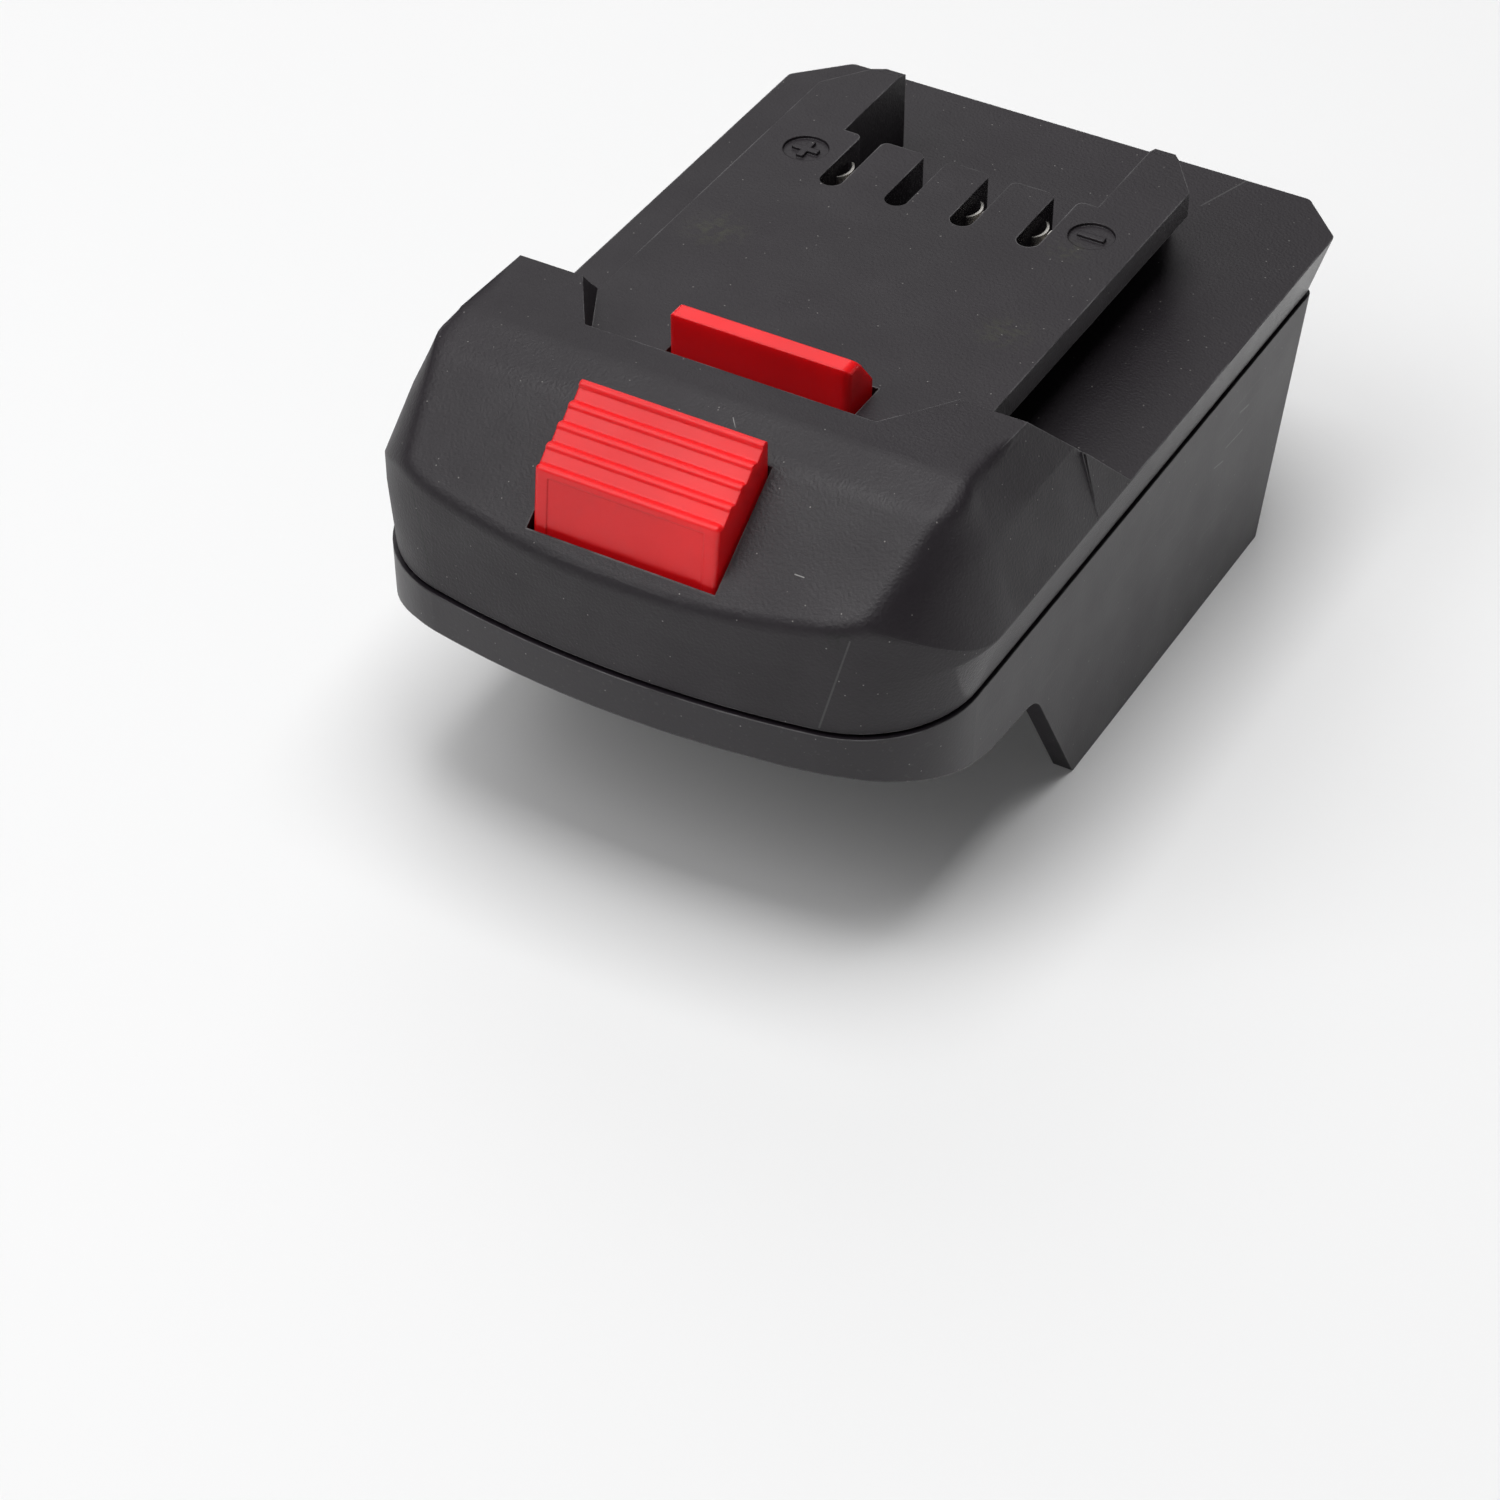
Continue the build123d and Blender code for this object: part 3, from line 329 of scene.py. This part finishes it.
# Plastics inside: nodes, name, colour, least and most roughness, depth of the grain in millimetres
INNER_PLASTICS = [
    (["clip_carrier", "terminal_block"], "carrier_plastic", CASE_BLACK, (0.40, 0.50), 0.004),
    (["circuit_board"], "board_laminate", (0.02, 0.15, 0.05, 1), (0.30, 0.40), 0.002),
    (["signal_resistors"], "resistor_coat", (0.42, 0.33, 0.20, 1), (0.30, 0.40), 0.002),
    (["wire_positive"], "wire_red", (0.45, 0.02, 0.02, 1), (0.35, 0.45), 0.002),
    (["wire_signal"], "wire_white", (0.65, 0.65, 0.62, 1), (0.35, 0.45), 0.002),
    (["wire_negative"], "wire_black", (0.02, 0.02, 0.02, 1), (0.35, 0.45), 0.002),
]

# Metals: nodes, name, colour, least and most roughness, spacing and depth of scratches in millimetres
POLES = ["positive", "signal", "negative"]
CONTACT_CLIPS = [f"contact_clip_{pole}" for pole in POLES]
BLADES = [f"blade_{pole}" for pole in POLES]
SPRINGS = ["latch_spring_left", "latch_spring_right"]
SCREWS = ["case_screws", "carrier_screws", "terminal_screws"]
METALS = [
    (CONTACT_CLIPS, "contact_nickel", (0.95, 0.92, 0.87, 1), (0.30, 0.40), 0.15, 0.0005),
    (BLADES, "blade_brass", (0.72, 0.52, 0.24, 1), (0.22, 0.36), 0.20, 0.002),
    (SPRINGS, "spring_steel", (0.55, 0.55, 0.56, 1), (0.25, 0.35), 0.10, 0.001),
    (SCREWS, "screw_steel", (0.48, 0.48, 0.49, 1), (0.25, 0.40), 0.20, 0.003),
]


def plastic(name, colour, roughness, grain_depth, layers=(), edge=None, polish=None):
    """Moulded plastic with a spark-eroded grain, cloudy tone, rubbed patches and soft edges.

    The layers are marks, painted edge highlights and a painted shade, laid on in turn. Two functions of
    the
    place may be given: edge for the radius of the edges, and polish for the share of the roughness that
    is left.
    """
    material, shader, add, join = start_material(name)
    place = add("ShaderNodeTexCoord").outputs["Object"]
    dark, light = (shade(colour, share) for share in CLOUD_SHARES)
    tone = blend(add, patches(add, place, CLOUD_PERIOD, 3, CLOUD_EDGES), dark, light)
    for draw, values, mark in layers:
        tone = blend(add, draw(add, place, *values), tone, mark)
    join(tone, "Base Color")
    rough = patches(add, place, SHINE_PERIOD, 4, SHINE_EDGES, *roughness)
    join(times(add, rough, polish(add, place)) if polish else rough, "Roughness")
    rounded = round_edges(add, edge(add, place) if edge else FINE_EDGE)
    grain = noise(add, place, GRAIN_PERIOD, 2)
    relief = {"Strength": 1.0, "Distance": grain_depth, "Height": grain, "Normal": rounded}
    join(add("ShaderNodeBump", relief).outputs["Normal"], "Normal")
    shader.inputs["IOR"].default_value = PLASTIC_IOR
    return material


def glow_through(material):
    """Lets light spread a little way inside the plastic, red furthest."""
    shader = material.node_tree.nodes["Principled BSDF"]
    shader.inputs["Subsurface Weight"].default_value = GLOW_WEIGHT
    shader.inputs["Subsurface Radius"].default_value = GLOW_SPREAD
    shader.inputs["Subsurface Scale"].default_value = GLOW_DEPTH


def metal(name, colour, roughness, period, scratch_depth):
    """Bare or plated metal with fine drawn scratches and a patchy shine."""
    material, shader, add, join = start_material(name)
    place = add("ShaderNodeTexCoord").outputs["Object"]
    drawn = add("ShaderNodeMapping", {"Vector": place, "Scale": DRAWN_STRETCH}).outputs[0]
    scratches = noise(add, drawn, period, 4)
    dark, light = (shade(colour, share) for share in METAL_CLOUD_SHARES)
    join(blend(add, noise(add, place, period * METAL_CLOUD_RATIO, 2), dark, light), "Base Color")
    join(span(add, scratches, *SHINE_EDGES, *roughness), "Roughness")
    relief = {"Strength": 1.0, "Distance": scratch_depth, "Height": scratches}
    join(add("ShaderNodeBump", relief).outputs["Normal"], "Normal")
    shader.inputs["Metallic"].default_value = 1.0
    return material


def dress(names, material):
    """Gives the named CAD nodes one material."""
    for name in names:
        slots = nodes[name].data.materials
        slots.clear()
        slots.append(material)


def make_camera():
    """Camera at the photograph's place and angle."""
    azimuth, elevation = math.radians(CAMERA_AZIMUTH), math.radians(CAMERA_ELEVATION)
    level = math.cos(elevation)
    back = Vector((math.sin(azimuth) * level, -math.cos(azimuth) * level, math.sin(elevation)))
    right = Vector((math.cos(azimuth), math.sin(azimuth), 0))
    up = back.cross(right)
    roll = Matrix.Rotation(-math.radians(CAMERA_ROLL), 3, "Z")
    turn = Matrix((right, up, back)).transposed() @ roll
    data = bpy.data.cameras.new("camera")
    data.lens = LENS
    data.sensor_width = SENSOR
    data.clip_start = NEAREST_SEEN
    camera = bpy.data.objects.new("camera", data)
    camera.matrix_world = Matrix.Translation(CAMERA_PLACE) @ turn.to_4x4()
    bpy.context.scene.collection.objects.link(camera)
    bpy.context.scene.camera = camera


def make_lamp(name, place, power):
    """Large square lamp that points at the object."""
    data = bpy.data.lights.new(name, "AREA")
    data.size = LAMP_SIZE
    data.energy = power
    lamp = bpy.data.objects.new(name, data)
    lamp.location = place
    lamp.rotation_euler = (LAMP_AIM - place).to_track_quat("-Z", "Y").to_euler()
    bpy.context.scene.collection.objects.link(lamp)


def make_floor():
    """Matt pale floor just under the object, a little brighter to the eye than its light makes it."""
    level = cad_box[0][2] - FLOOR_GAP
    corners = [(-1, -1), (1, -1), (1, 1), (-1, 1)]
    points = [(x * FLOOR_HALF, y * FLOOR_HALF, level) for x, y in corners]
    mesh = bpy.data.meshes.new("floor")
    mesh.from_pydata(points, [], [(0, 1, 2, 3)])
    floor = bpy.data.objects.new("floor", mesh)
    bpy.context.scene.collection.objects.link(floor)
    material, shader, add, join = start_material("floor")
    shader.inputs["Base Color"].default_value = FLOOR_COLOUR
    shader.inputs["Roughness"].default_value = FLOOR_ROUGHNESS
    shader.inputs["Specular IOR Level"].default_value = 0.0
    rays = add("ShaderNodeLightPath").outputs
    seen = reckon(add, "MAXIMUM", rays["Is Camera Ray"], rays["Is Glossy Ray"])
    seen = reckon(add, "MAXIMUM", seen, rays["Is Transmission Ray"])
    shader.inputs["Emission Color"].default_value = (1, 1, 1, 1)
    join(times(add, seen, FLOOR_LIFT), "Emission Strength")
    mesh.materials.append(material)


def make_world():
    """Dim even light from all around."""
    world = bpy.data.worlds.new("studio")
    world.use_nodes = True
    background = world.node_tree.nodes["Background"]
    background.inputs["Color"].default_value = WORLD_COLOUR
    background.inputs["Strength"].default_value = WORLD_STRENGTH
    bpy.context.scene.world = world


make_camera()
make_floor()
make_world()
make_lamp("top", TOP_PLACE, TOP_POWER)
make_lamp("rear", REAR_PLACE, REAR_POWER)
make_lamp("front", FRONT_PLACE, FRONT_POWER)

cover_finish = (COVER_BLACK, COVER_ROUGHNESS, COVER_GRAIN_DEPTH, COVER_LAYERS)
dress(["top_cover"], plastic("cover_plastic", *cover_finish, edge=hood_edge, polish=band_polish))
case_finish = (CASE_BLACK, CASE_ROUGHNESS, CASE_GRAIN_DEPTH, CASE_LAYERS)
dress(["bottom_case"], plastic("case_plastic", *case_finish))
red_plastic = plastic("red_plastic", LATCH_RED, LATCH_ROUGHNESS, LATCH_GRAIN_DEPTH)
glow_through(red_plastic)
dress(["release_latch"], red_plastic)
for names, title, colour, roughness, depth in INNER_PLASTICS:
    dress(names, plastic(title, colour, roughness, depth * MM))
for names, title, colour, roughness, period, depth in METALS:
    dress(names, metal(title, colour, roughness, period * MM, depth * MM))

bpy.context.scene.view_settings.view_transform = "Standard"
